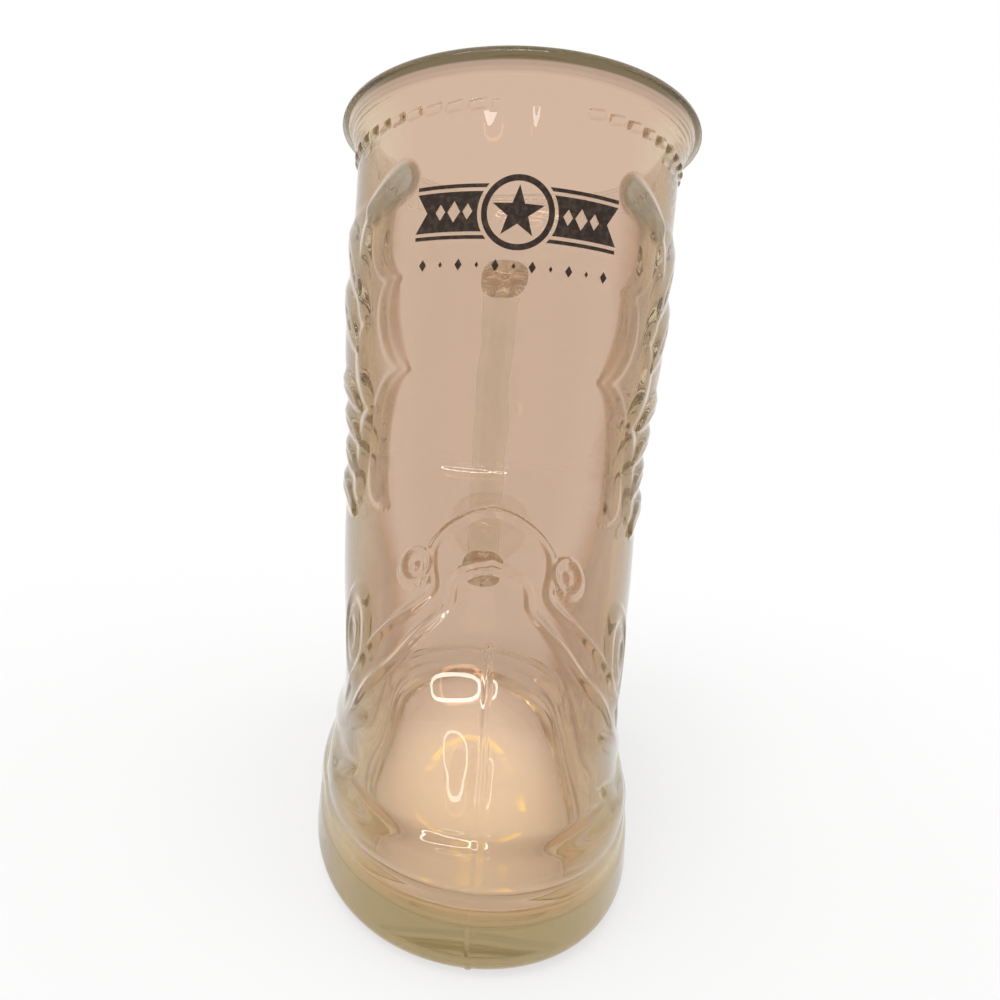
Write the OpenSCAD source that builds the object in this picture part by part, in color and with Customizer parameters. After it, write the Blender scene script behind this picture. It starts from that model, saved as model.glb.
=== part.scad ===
// Glass boot mug: a hollow pressed-glass boot, a handle at its back and a printed badge on its front.
// The toe points to -Y and the mug stands on z = 0.

/* [Shaft] */
// Height from the ground to the top of the rim
height = 156; // [130:1:190]
// Diameter across the rim
rim_d = 89; // [84:0.5:100]
// Height of the flare under the rim
flare_h = 10; // [6:0.5:16]
// Diameter of the straight upper shaft
shaft_d = 80; // [72:0.5:90]
// Length of the upper shaft, from the rim down to where it begins to taper
straight_len = 51; // [49:1:62]
// Width across the ankle
ankle_w = 74.5; // [66:0.5:80]
// Height of the ankle
ankle_z = 72; // [60:1:80]
// Back of the ankle, measured from the shaft's axis
ankle_reach = 36; // [30:0.5:42]

/* [Foot] */
// Width across the foot
foot_w = 65; // [58:0.5:76]
// Tip of the toe, measured from the shaft's axis
toe_reach = 89.5; // [75:0.5:105]
// Back of the heel, measured from the shaft's axis
heel_reach = 39; // [33:0.5:46]
// Height at which the instep runs into the shaft
instep_z = 74; // [60:1:85]
// Height of the fullest part of the vamp
vamp_z = 27; // [22:1:34]
// How much slimmer the foot is there, on each side
vamp_slim = 1.8; // [0:0.1:3]
// Thickness of the sole's edge
sole_t = 8; // [5:0.5:12]
// How far the sole's edge stands out of the upper
welt = 1; // [0.4:0.1:2]
// Height over which the edge of the sole runs into the upper
welt_h = 4; // [2:0.5:6]
// Rounding of the sole's bottom edge
sole_r = 3; // [1.5:0.5:4.5]
// Rise of the shank between the heel and the sole
arch_h = 1; // [0.5:0.25:2]
// Front of the heel, measured behind the shaft's axis
heel_front = 12; // [6:0.5:16]
// Length of the hollow under the shank
arch_len = 46; // [34:1:54]

/* [Glass] */
// Thickness of the wall
wall_t = 4; // [3:0.1:5]
// Thickness of the rounded rim
lip_t = 4.4; // [3.4:0.1:5.4]
// Thickness of the solid bottom
floor_t = 7; // [6:0.5:10]
// Rounding between the inside walls and the bottom
floor_r = 5; // [3:0.5:7]

/* [Side ornament] */
// How far the ground of the side panels stands out of the shaft
panel_h = 0.4; // [0.2:0.1:1]
// Width of a side panel's bevelled edge
panel_bevel = 4; // [2:0.25:5]
// Half of the plain front, along the wall, where two scallops meet
plain_half = 24.5; // [22:0.5:26]
// Depth of the deepest scallop
scallop_depth = 8.4; // [4:0.4:9]
// Lowest point of the side panels
panel_low_z = 63; // [57:1:70]
// Top of the side panels, measured down from the rim
panel_drop = 22; // [20:1:28]
// How far the crescents along the scallops stand out of the panels
crescent_h = 1; // [0.5:0.1:1.6]
// Width of a crescent
crescent_w = 5.8; // [4:0.2:7]
// How far the leaves stand out of the side panels
leaf_h = 0.9; // [0.4:0.1:1.6]
// Step from leaf to leaf
leaf_pitch = 8.5; // [7:0.5:10]
// Length of a leaf along the wall
leaf_len = 25; // [18:0.5:28]
// How much higher the tip of a leaf is than its root
leaf_rise = 8; // [4:0.5:12]

/* [Handle] */
// Width of the handle
handle_w = 13; // [9:0.5:18]
// Thickness of the handle
handle_t = 9; // [7:0.5:13]
// Room for the fingers between the handle and the shaft
finger_gap = 23; // [18:0.5:32]
// Middle of the upper root, measured down from the rim
handle_drop = 26; // [20:1:36]
// Height of the lower root
handle_low_z = 37; // [30:1:50]
// How much wider the handle gets at its roots
root_flare = 2; // [1:0.5:7]

/* [Print] */
// Middle of the badge, measured down from the rim
badge_drop = 31; // [29.5:0.5:34]
// Width of the badge
badge_w = 42; // [34:0.5:44]
// Height of the band beside the roundel
band_h = 8; // [6:0.5:10]
// Diameter of the roundel
roundel_d = 15; // [12:0.5:17]
// Width of the roundel's ring
ring_w = 1.2; // [0.8:0.1:2]
// Width of the thin border lines
line_w = 0.7; // [0.4:0.1:1.2]
// Gap between neighbouring ink areas
ink_clear = 0.8; // [0.5:0.1:1.2]
// Gap between the badge and the row of lozenges under it
rule_gap = 2; // [1:0.5:3.5]
// Length of the row of lozenges
rule_w = 38; // [28:0.5:40]
// Height of a lozenge
lozenge_h = 2.4; // [1.6:0.1:3]
// Thickness of the ink
ink_t = 0.2; // [0.1:0.05:0.4]

/* [Hidden] */

$fn = 96;
glass_colour = [0.80, 0.70, 0.60, 0.55];
ink_colour = [0.19, 0.14, 0.12];

// Points around half of the boot, closer together over the crescents: ends of the stretches, and counts
turn_ends = [0, 22, 66, 114, 158, 180];
turn_counts = [3, 13, 7, 13, 3];
// Rows of points, from the sole up and down again on the inside
welt_row_count = 2;
foot_row_count = 11;
panel_row_count = 30;
upper_row_count = 3;
inside_row_count = 11;
round_steps = 4;

// Shape of the vamp: how long the toe stays full, and how softly the instep rises
toe_fullness = 2.3;
instep_softness = 1.6;
// Fullness of the outline's front from above: 1 is an oval, more is blunter
sole_full_share = 1.34;
vamp_full_share = 1.4;
shaft_full_share = 1;
// How straight the sides of the vamp are from above
vamp_box_share = 0.45;
// How quickly the slimmer part of the foot fades up and down
slim_bend = 3;
// Share of the wall by which the inside of the vamp sits lower than its outside
vamp_drop_share = 0.6;
// Bend of the flare
flare_bend = 1.6;
// Share of the hollow's length that the front of the heel takes up
heel_slope_share = 0.5;
// Height up to which the rise of the shank is felt in the sides, in rises
arch_fade_share = 3;

// Scallops of the panels' edge from the lowest up: where they meet, as shares of the panel's height and of
// half the plain front, and how deep each one is
edge_height_shares = [0, 0.42, 0.693, 1];
edge_side_shares = [1.026, 0.883, 1.04, 1];
edge_depth_shares = [1, 0.54, 0.914];
// A second row of scallops behind them
second_height_shares = [0, 0.296, 0.563, 0.9];
second_side_shares = [1.48, 1.368, 1.424, 1.48];
second_depth_shares = [0.5, 0.5, 0.5];
// The crescent over the uppermost scallop
petal_height_shares = [0.885, 0.958, 1.004, 1.008];
petal_side_shares = [1.61, 1.453, 1.225, 0.969];
// A crescent's points, the bend of its sides, and its least width
arc_steps = 16;
crescent_bend = 0.6;
crescent_tip_share = 0.02;
// Leaves: where they start, along the wall and on the panels, and how they widen, narrow and bow
leaf_count = 5;
leaf_root_share = 0.622;
leaf_low_share = 0.35;
leaf_half_share = 0.494;
leaf_wide_share = 0.8;
leaf_tip_share = 0.7;
leaf_bow_share = 0.5;
// The long leaves over them
long_leaf_count = 2;
long_gap_share = 0.7;
long_pitch_share = 1.3;
long_rise_share = 2.6;
long_half_share = 0.62;

// Handle's curve and section
handle_squareness = 3.2;
section_squareness = 2.6;
handle_ring_count = 32;
section_points = 16;
root_share = 0.22;

// Badge
star_points = 5;
star_waist_share = 0.4;
band_tip_share = 0.28;
band_lozenge_count = 3;
rule_lozenge_count = 11;
lozenge_width_share = 0.62;
band_lozenge_share = 0.42;
middle_lozenge_share = 1.3;
small_lozenge_share = 0.5;

// A hair's breadth between pieces that touch
seat_gap = 0.05;
overrun = 1;

flare_z = height - flare_h;
straight_z = height - straight_len;
panel_top_z = height - panel_drop;
handle_top_z = height - handle_drop;
handle_mid_z = (handle_top_z + handle_low_z) / 2;
badge_z = height - badge_drop;
rule_z = badge_z - roundel_d / 2 - rule_gap - lozenge_h / 2;
foot_half = foot_w / 2;
shaft_r = shaft_d / 2;
vamp_len = toe_reach - foot_half;
vamp_drop = wall_t * vamp_drop_share;
arch_fade = arch_h * arch_fade_share;
panel_rise = panel_top_z - panel_low_z;
leaf_root = shaft_r * PI / 2 * leaf_root_share;
leaf_low_z = panel_low_z - leaf_pitch * leaf_low_share;
relief_low_z = leaf_low_z - leaf_pitch * leaf_half_share;
handle_outer = shaft_r + finger_gap + handle_t;
// The mug's box is centred on the origin, so the shaft's axis is a little behind it or before it
axis_y = (toe_reach + welt - handle_outer) / 2;

function clamp01(u) = max(0, min(1, u));
function ease(u) = let (c = clamp01(u)) c * c * (3 - 2 * c);
function mix(a, b, u) = a + (b - a) * u;

// Rises from the sole to the fullest part of the vamp, and fades again to the instep
function over_vamp(z) = ease(z / vamp_z) * (1 - ease((z - vamp_z) / (instep_z - vamp_z)));

// Half of the width at a height
function half_w(z) =
    z < ankle_z ? mix(foot_half, ankle_w / 2, ease(z / ankle_z)) - vamp_slim * pow(over_vamp(z), slim_bend)
    : z < straight_z ? mix(ankle_w / 2, shaft_r, ease((z - ankle_z) / (straight_z - ankle_z)))
    : z < flare_z ? shaft_r
    : mix(shaft_r, rim_d / 2, pow(clamp01((z - flare_z) / flare_h), flare_bend));

// Distance from the axis to the back at a height
function back(z) =
    z < ankle_z ? mix(heel_reach, ankle_reach, ease(z / ankle_z))
    : z < straight_z ? mix(ankle_reach, shaft_r, ease((z - ankle_z) / (straight_z - ankle_z)))
    : half_w(z);

// Distance from the axis to the front at a height
function vamp(u) = pow(1 - pow(clamp01(u), toe_fullness), instep_softness);
function front(z) = half_w(z) + vamp_len * vamp((z - sole_t) / (instep_z - sole_t));

// Fullness and straightness of the front half's outline at a height
function fullness(z) =
    let (low = mix(sole_full_share, vamp_full_share, ease(z / vamp_z)))
    [
        mix(low, shaft_full_share, ease((z - vamp_z) / (instep_z - vamp_z))),
        vamp_box_share * over_vamp(z)
    ];

// The edge of the sole stands out, and fades into the upper
function welt_at(z) = welt * (1 - ease((z - sole_t) / welt_h));

// Rise of the underside between the heel and the sole
function arch(y) =
    let (u = (heel_front - y) / arch_len)
    arch_h * ease(u / heel_slope_share) * (1 - ease((u - heel_slope_share) / (1 - heel_slope_share)));
function lifted(y, z) = z + arch(y) * (1 - ease(z / arch_fade));

// Scallops: distance of a row of them from the middle, along the wall, at a share of the panels' height
function scallop_at(f, heights, sides, depths) =
    let (
        i = max([0, for (k = [1 : len(depths) - 1]) if (f > heights[k]) k]),
        g = clamp01((f - heights[i]) / (heights[i + 1] - heights[i]))
    ) plain_half * mix(sides[i], sides[i + 1], g) + scallop_depth * depths[i] * sqrt(1 - pow(2 * g - 1, 2));
function edge_at(f) = scallop_at(f, edge_height_shares, edge_side_shares, edge_depth_shares);

// Middle lines of the crescents, one along each scallop and one over the uppermost
function scallop_lines(heights, sides, depths) = [
    for (i = [0 : len(depths) - 1])
        [for (k = [0 : arc_steps])
            let (f = mix(heights[i], heights[i + 1], (1 - cos(180 * k / arc_steps)) / 2))
                [scallop_at(f, heights, sides, depths), panel_low_z + panel_rise * f]]
];
function petal_line() = [
    for (k = [0 : arc_steps])
        let (f = k / arc_steps * (len(petal_side_shares) - 1), i = min(floor(f), len(petal_side_shares) - 2))
            [
                plain_half * mix(petal_side_shares[i], petal_side_shares[i + 1], f - i),
                panel_low_z + panel_rise * mix(petal_height_shares[i], petal_height_shares[i + 1], f - i)
            ]
];
crescent_lines = concat(
    scallop_lines(edge_height_shares, edge_side_shares, edge_depth_shares),
    scallop_lines(second_height_shares, second_side_shares, second_depth_shares),
    [petal_line()]
);
function crescent(p, line) =
    let (
        away = [for (q = line) norm(p - q)],
        nearest = min(away),
        place = search(nearest, away)[0] / arc_steps,
        half = crescent_w / 2 * pow(max(sin(180 * place), crescent_tip_share), crescent_bend)
    ) max(0, 1 - pow(nearest / half, 2));

// Leaves: height of the root, rise to the tip and half of the width of each
leaves = concat(
    [for (i = [0 : leaf_count - 1]) [leaf_low_z + leaf_pitch * i, leaf_rise, leaf_pitch * leaf_half_share]],
    [for (i = [0 : long_leaf_count - 1])
        [
            leaf_low_z + leaf_pitch * (leaf_count - 1 + long_gap_share + long_pitch_share * i),
            leaf_rise * long_rise_share,
            leaf_pitch * long_half_share
        ]]
);
function leaf(p, l) =
    let (
        step = [leaf_len, l[1]],
        d = p - [leaf_root, l[0]],
        along = d * step / (step * step),
        bow = l[2] * leaf_bow_share * sin(180 * clamp01(along)),
        across = (d.x * step.y - d.y * step.x) / norm(step) + bow,
        half = l[2] * pow(sin(180 * pow(clamp01(along), leaf_wide_share)), leaf_tip_share)
    ) along <= 0 || along >= 1 ? 0 : max(0, 1 - pow(across / half, 2));

// Height of the ornament. Places run along the wall from the front or the back, whichever is nearer
function ornament(t, z) =
    z <= relief_low_z || z >= flare_z ? 0
    : let (
        turn = 90 - abs(abs(t > 180 ? t - 360 : t) - 90),
        p = [turn * PI / 180 * shaft_r, z],
        inside = ease((p.x - edge_at((z - panel_low_z) / panel_rise)) / panel_bevel),
        ends = ease((z - panel_low_z) / panel_bevel) * ease((panel_top_z - z) / panel_bevel),
        crescents = max([for (line = crescent_lines) crescent(p, line)]),
        sprays = max([for (l = leaves) leaf(p, l)])
    ) panel_h * inside * ends + max(crescent_h * crescents, leaf_h * sprays);

// A point of the outline at a turn t from the toe, for a half-width, front, back and fullness
function outline(t, w, a, b, full) =
    let (c = cos(t), s = sin(t), s2 = s * s)
    c > 0 ? [w * s * (full[0] + (1 - full[0] - full[1]) * s2 + full[1] * s2 * s2), -a * c] : [w * s, -b * c];

function outer_point(t, z, inset) =
    let (
        grow = welt_at(z) - inset,
        p = outline(t, half_w(z) + grow, front(z) + grow, back(z) + grow, fullness(z)),
        h = ornament(t, z)
    ) [p.x + h * sin(t), p.y - h * cos(t), lifted(p.y, z)];

// The wall gets thicker towards the rim
function wall_at(z) = mix(wall_t, lip_t, ease((z - flare_z) / flare_h));
function inner_point(t, z, inset) =
    let (
        in = wall_at(z) + inset,
        zv = z + vamp_drop,
        p = outline(t, half_w(z) - in, front(zv) + half_w(z) - half_w(zv) - in, back(z) - in, fullness(zv))
    ) [p.x, p.y, lifted(p.y, z)];

function lip_point(t, turn) =
    let (r = rim_d / 2 - lip_t / 2 + lip_t / 2 * cos(turn))
    [r * sin(t), -r * cos(t), height - lip_t / 2 + lip_t / 2 * sin(turn)];

// Heights of the rows of points, each with its inset
function steps(low, high, n) = [for (i = [0 : n - 1]) mix(low, high, i / n)];
function bottom_edge() =
    [for (i = [0 : round_steps - 1])
        let (q = 90 * i / round_steps) [sole_r * (1 - cos(q)), sole_r * (1 - sin(q))]];
function outer_rows() = concat(
    bottom_edge(),
    [for (z = steps(sole_r, sole_t + welt_h, welt_row_count)) [z, 0]],
    [for (z = steps(sole_t + welt_h, relief_low_z, foot_row_count)) [z, 0]],
    [for (z = steps(relief_low_z, panel_top_z, panel_row_count)) [z, 0]],
    [for (z = steps(panel_top_z, flare_z, upper_row_count)) [z, 0]],
    [for (z = steps(flare_z, height - lip_t / 2, upper_row_count)) [z, 0]]
);
function lip_turns() = [for (i = [0 : 2 * round_steps]) 180 * i / (2 * round_steps)];
function inner_rows() = concat(
    [for (z = steps(height - lip_t / 2 - flare_h / 2, floor_t + floor_r, inside_row_count)) [z, 0]],
    [for (i = [0 : round_steps])
        let (q = 90 * i / round_steps) [floor_t + floor_r * (1 - sin(q)), floor_r * (1 - cos(q))]]
);

// Skin between rows of points, closed at both ends by strips across the part
function skin_faces(rows, n) = [
    for (i = [0 : rows - 2])
        for (j = [0 : n - 1])
            let (k = (j + 1) % n, a = i * n + j, b = i * n + k)
                each [[a, a + n, b], [b, a + n, b + n]]
];
function cap_faces(first, n, flip) = [
    for (j = [0 : n / 2 - 1])
        let (
            a = first + j,
            b = first + j + 1,
            c = first + n - 1 - j,
            d = first + (n - j) % n,
            strip = concat(b == c ? [] : [[a, b, c]], a == d ? [] : [[a, c, d]])
        )
            each [for (f = strip) flip ? [f[2], f[1], f[0]] : f]
];

module closed_skin(rings) {
    n = len(rings[0]);
    polyhedron(
        points = [for (ring = rings) each ring],
        faces = concat(
            skin_faces(len(rings), n),
            cap_faces(0, n, false),
            cap_faces((len(rings) - 1) * n, n, true)
        ),
        convexity = 8
    );
}

module at_axis() {
    translate([0, axis_y, 0]) children();
}

// Turns of the points around the boot
half_turns = [
    for (i = [0 : len(turn_counts) - 1])
        each [for (k = [0 : turn_counts[i] - 1]) mix(turn_ends[i], turn_ends[i + 1], k / turn_counts[i])]
];
turns = concat(half_turns, [for (t = half_turns) t + 180]);

module boot_body() {
    color(glass_colour) at_axis() closed_skin(concat(
        [for (row = outer_rows()) [for (t = turns) outer_point(t, row[0], row[1])]],
        [for (turn = lip_turns()) [for (t = turns) lip_point(t, turn)]],
        [for (row = inner_rows()) [for (t = turns) inner_point(t, row[0], row[1])]]
    ));
}

// Handle: its middle line is a squared half-ring, and its ends lie on the back of the boot
handle_out = finger_gap + handle_t / 2;
handle_half = (handle_top_z - handle_low_z) / 2;
function squared(v, n) = sign(v) * pow(abs(v), 2 / n);
function handle_line(turn) =
    let (z = handle_mid_z + handle_half * squared(sin(turn), handle_squareness))
    [0, mix(back(z), shaft_r, clamp01(cos(turn))) + handle_out * squared(cos(turn), handle_squareness), z];
function handle_section(turn, q) =
    let (
        near = 1 - clamp01((90 - abs(turn)) / (90 * root_share)),
        w = handle_w / 2 + root_flare / 2 * near * near,
        h = handle_t / 2 + root_flare / 2 * near * near
    ) [w * squared(cos(q), section_squareness), h * squared(sin(q), section_squareness)];
function on_back(x, z) = back(z) * sqrt(1 - pow(x / half_w(z), 2)) + seat_gap;
function handle_point(turn, q) =
    let (
        p = handle_line(turn),
        step = 90 / handle_ring_count,
        tangent = handle_line(min(90, turn + step)) - handle_line(max(-90, turn - step)),
        along = tangent / norm(tangent),
        s = handle_section(turn, q),
        end = abs(turn) == 90,
        z = p.z - s[1] * (end ? sign(along.y) : along.y)
    ) [s[0], end ? on_back(s[0], z) : p.y + s[1] * along.z, z];

module handle() {
    turns = [for (i = [0 : handle_ring_count]) -90 + 180 * i / handle_ring_count];
    color(glass_colour) at_axis() closed_skin([
        for (turn = turns) [for (i = [0 : section_points - 1]) handle_point(turn, 360 * i / section_points)]
    ]);
}

// Ink lies on the straight front of the shaft: the shape is pushed back onto a thin curved film
module ink() {
    film_h = flare_z - straight_z;
    film_r = shaft_r + seat_gap;
    color(ink_colour) at_axis() intersection() {
        translate([0, 0, straight_z]) difference() {
            cylinder(r = film_r + ink_t, h = film_h);
            translate([0, 0, -overrun]) cylinder(r = film_r, h = film_h + 2 * overrun);
        }
        rotate([90, 0, 0]) linear_extrude(height = shaft_d) children();
    }
}

module lozenge(h) {
    polygon([for (i = [0 : 3]) [h / 2 * lozenge_width_share * cos(90 * i), h / 2 * sin(90 * i)]]);
}

module print_roundel() {
    star_r = roundel_d / 2 - ring_w - ink_clear;
    ink() translate([0, badge_z]) {
        difference() {
            circle(d = roundel_d);
            circle(d = roundel_d - 2 * ring_w);
        }
        polygon([
            for (i = [0 : 2 * star_points - 1])
                let (r = i % 2 == 0 ? star_r : star_r * star_waist_share, q = 90 + 180 * i / star_points)
                    [r * cos(q), r * sin(q)]
        ]);
    }
}

// Two tapered bands, one each side of the roundel, with a row of clear lozenges in each
module band_side() {
    inner = roundel_d / 2;
    outer = badge_w / 2;
    tip = band_h * band_tip_share;
    difference() {
        polygon([
            [0, -band_h / 2],
            [outer, -band_h / 2],
            [outer - tip, 0],
            [outer, band_h / 2],
            [0, band_h / 2]
        ]);
        circle(d = roundel_d + 2 * ink_clear);
        for (i = [0 : band_lozenge_count - 1])
            translate([inner + (outer - tip - inner) * (i + 1) / (band_lozenge_count + 1), 0])
                lozenge(band_h * band_lozenge_share * (i == 1 ? middle_lozenge_share : 1));
    }
}

module print_band() {
    ink() translate([0, badge_z]) {
        band_side();
        mirror([1, 0]) band_side();
    }
}

// Thin lines over and under each band
module print_border() {
    ink() translate([0, badge_z]) difference() {
        for (side = [-1, 1])
            translate([0, side * (band_h / 2 + ink_clear + line_w / 2)])
                square([badge_w, line_w], center = true);
        circle(d = roundel_d + 2 * ink_clear);
    }
}

// Row of lozenges, every other one small
module print_rule() {
    ink() translate([0, rule_z])
        for (i = [0 : rule_lozenge_count - 1])
            translate([rule_w * (i / (rule_lozenge_count - 1) - 0.5), 0])
                lozenge(i % 2 == 0 ? lozenge_h : lozenge_h * small_lozenge_share);
}

boot_body();
handle();
print_roundel();
print_band();
print_border();
print_rule();
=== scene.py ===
import math
import bpy
import numpy as np
from mathutils import Matrix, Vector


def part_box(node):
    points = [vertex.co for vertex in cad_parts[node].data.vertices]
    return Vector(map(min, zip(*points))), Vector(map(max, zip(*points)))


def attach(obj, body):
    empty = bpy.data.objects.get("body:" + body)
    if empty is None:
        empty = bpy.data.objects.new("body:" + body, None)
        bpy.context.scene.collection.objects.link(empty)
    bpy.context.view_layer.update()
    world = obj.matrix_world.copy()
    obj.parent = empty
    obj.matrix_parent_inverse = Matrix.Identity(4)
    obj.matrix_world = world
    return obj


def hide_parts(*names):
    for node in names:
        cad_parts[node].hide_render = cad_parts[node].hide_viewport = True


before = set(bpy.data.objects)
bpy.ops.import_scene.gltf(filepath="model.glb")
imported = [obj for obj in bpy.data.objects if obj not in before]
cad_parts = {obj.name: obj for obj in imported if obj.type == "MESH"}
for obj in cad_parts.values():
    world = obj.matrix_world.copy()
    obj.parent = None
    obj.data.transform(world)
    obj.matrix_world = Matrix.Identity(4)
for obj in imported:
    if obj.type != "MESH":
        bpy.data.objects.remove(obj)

scene = bpy.context.scene
scene.view_settings.view_transform = "Standard"
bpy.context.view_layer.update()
mm = 0.001
print("frame loaded, nodes:", sorted(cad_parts))

# Sizes of the boot in millimetres. Turns are degrees from the toe, up is the height over the table.
bootLow, bootHigh = (np.array(corner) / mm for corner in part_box("boot_body"))
boot = {
    "height": bootHigh[2], "rimWide": bootHigh[0] - bootLow[0], "flareTall": 10.0, "flareBend": 1.6,
    "shaftWide": 80.0, "straightLong": 51.0, "ankleWide": 74.5, "ankleUp": 72.0, "ankleBack": 36.0,
    "footWide": 65.0, "toeReach": 89.5, "heelReach": 39.0, "instepUp": 74.0, "vampUp": 27.0,
    "soleThick": 8.0, "welt": 1.0, "weltTall": 4.0, "soleRound": 3.0,
    "archTall": 0.3, "heelFront": 12.0, "archLong": 46.0, "heelSlope": 0.5, "archFade": 3.0,
    "wall": 4.0, "lip": 4.4, "floorThick": 6.5, "floorRise": 12.0, "floorToe": 4.5, "floorHeel": 14.0,
    "vampDrop": 2.4, "vampFull": 1.4, "vampBox": 0.45, "vampSlim": 1.8, "slimBend": 3,
    "toeFullness": 2.3, "instepSoftness": 1.6, "soleFull": 1.34,
}
shaftRadius = boot["shaftWide"] / 2
flareUp = boot["height"] - boot["flareTall"]
straightUp = boot["height"] - boot["straightLong"]
axisBack = bootHigh[1] - boot["rimWide"] / 2        # the shaft's axis stands behind the origin


def ease(share):
    share = np.clip(share, 0, 1)
    return share * share * (3 - 2 * share)


def blendTo(start, end, share):
    return start + (end - start) * share


def taper(up, low, ankle, upper):
    toAnkle = blendTo(low, ankle, ease(up / boot["ankleUp"]))
    toShaft = blendTo(ankle, upper, ease((up - boot["ankleUp"]) / (straightUp - boot["ankleUp"])))
    flare = np.clip((up - flareUp) / boot["flareTall"], 0, 1) ** boot["flareBend"]
    return np.where(up < boot["ankleUp"], toAnkle, toShaft) + (boot["rimWide"] / 2 - upper) * flare


# Rises from the sole to the fullest part of the vamp, and fades again to the instep
def overVamp(up):
    return ease(up / boot["vampUp"]) * (1 - ease((up - boot["vampUp"]) / (boot["instepUp"] - boot["vampUp"])))


def halfWidth(up):
    wide = taper(up, boot["footWide"] / 2, boot["ankleWide"] / 2, shaftRadius)
    return wide - boot["vampSlim"] * overVamp(up) ** boot["slimBend"]


def backReach(up):
    return taper(up, boot["heelReach"], boot["ankleBack"], shaftRadius)


def frontReach(up):
    share = np.clip((up - boot["soleThick"]) / (boot["instepUp"] - boot["soleThick"]), 0, 1)
    vamp = (1 - share ** boot["toeFullness"]) ** boot["instepSoftness"]
    return halfWidth(up) + (boot["toeReach"] - boot["footWide"] / 2) * vamp


# How blunt the front of the outline is (over 1 is blunter than an oval), and how straight its sides are
def fullness(up):
    full = blendTo(boot["soleFull"], boot["vampFull"], ease(up / boot["vampUp"]))
    full = blendTo(full, 1.0, ease((up - boot["vampUp"]) / (boot["instepUp"] - boot["vampUp"])))
    return full, boot["vampBox"] * overVamp(up)


def outline(turn, wide, front, back, fullBox):
    full, box = fullBox
    cos, sin = np.cos(np.radians(turn)), np.sin(np.radians(turn))
    ahead = cos > 0
    x = wide * sin * np.where(ahead, full + (1 - full - box) * sin ** 2 + box * sin ** 4, 1.0)
    y = np.where(ahead, -front * cos, -back * cos)
    return x, y


def archLift(y, up):
    share = (boot["heelFront"] - y) / boot["archLong"]
    rise = ease(share / boot["heelSlope"]) * (1 - ease((share - boot["heelSlope"]) / (1 - boot["heelSlope"])))
    return up + boot["archTall"] * rise * (1 - ease(up / boot["archFade"]))


# A point on the plain outside of the boot
def onBoot(turn, up, inset=0.0):
    grow = boot["welt"] * (1 - ease((up - boot["soleThick"]) / boot["weltTall"])) - inset
    x, y = outline(turn, halfWidth(up) + grow, frontReach(up) + grow, backReach(up) + grow, fullness(up))
    return np.stack([x, y, archLift(y, up) + 0 * x], axis=-1)


# A point on the inside of the glass
def inBoot(turn, up, inset=0.0):
    thick = blendTo(boot["wall"], boot["lip"], ease((up - flareUp) / boot["flareTall"])) + inset
    upVamp = up + boot["vampDrop"]
    front = frontReach(upVamp) + halfWidth(up) - halfWidth(upVamp)
    x, y = outline(turn, halfWidth(up) - thick, front - thick, backReach(up) - thick, fullness(upVamp))
    return np.stack([x, y, archLift(y, up) + 0 * x], axis=-1)


def normals(grid):
    around = np.roll(grid, -1, axis=1) - np.roll(grid, 1, axis=1)
    rising = np.gradient(grid, axis=0)
    out = np.cross(around, rising)
    return out / np.maximum(np.linalg.norm(out, axis=-1, keepdims=True), 1e-9)


# A smooth path through a few places given as (turn, up), laid on the boot
def pathOnBoot(places, steps=14):
    places = np.array([places[0]] + list(places) + [places[-1]], float)
    share = np.linspace(0, 1, steps, endpoint=False)[:, None]
    rows = []
    for a, b, c, d in zip(places, places[1:], places[2:], places[3:]):
        rows.append(0.5 * (2 * b + (c - a) * share + (2 * a - 5 * b + 4 * c - d) * share ** 2
                           + (3 * b - a - 3 * c + d) * share ** 3))
    rows.append(places[-1:])
    line = np.concatenate(rows)
    return onBoot(line[:, 0], line[:, 1])


# Distance from each point to a path, and the share of the path at which it is nearest
def nearPath(points, path, reach):
    low, high = path.min(axis=0) - reach, path.max(axis=0) + reach
    near = np.all((points > low) & (points < high), axis=-1)
    away, place = np.full(points.shape[:-1], np.inf), np.zeros(points.shape[:-1])
    picked = points[near]
    best, bestPlace = np.full(len(picked), np.inf), np.zeros(len(picked))
    for number, (start, end) in enumerate(zip(path, path[1:])):
        step = end - start
        share = np.clip(((picked - start) @ step) / max(step @ step, 1e-12), 0, 1)
        found = np.linalg.norm(picked - start - share[:, None] * step, axis=1)
        closer = found < best
        best = np.where(closer, found, best)
        bestPlace = np.where(closer, (number + share) / (len(path) - 1), bestPlace)
    away[near], place[near] = best, bestPlace
    return away, place


def awayFrom(points, path, reach):
    return nearPath(points, path, reach)[0]


def roundTop(away, half):
    return np.clip(1 - (away / half) ** 2, 0, 1)


def softTop(away, half):
    return roundTop(away, half) ** 2


# Higher of two reliefs, with a soft valley where they meet
def joined(first, second):
    return np.cbrt(first ** 3 + second ** 3)


# The trim loses a share of its height towards the back, where the mould is worn
wear = {"share": 0.7, "from": 100.0, "over": 20.0}


def backShare(turn):
    return 1 - wear["share"] * ease((np.abs(turn) - wear["from"]) / wear["over"])


# Rim: fine rings under the lip and a row of stitch-like beads
rimTrim = {
    "rings": [(152.2, 0.4, 0.12), (150.8, 0.4, 0.12), (149.5, 0.4, 0.12)],      # up, half-width, height
    "beadUp": 146.2, "beadCount": 51, "beadLong": 4.3, "beadTall": 2.3, "beadProud": 0.9,
    "beadSlant": 0.12, "longSquare": 4, "tallSquare": 3,
    "gap": (-8.0, 18.0),                                                        # turns without beads
}


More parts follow.
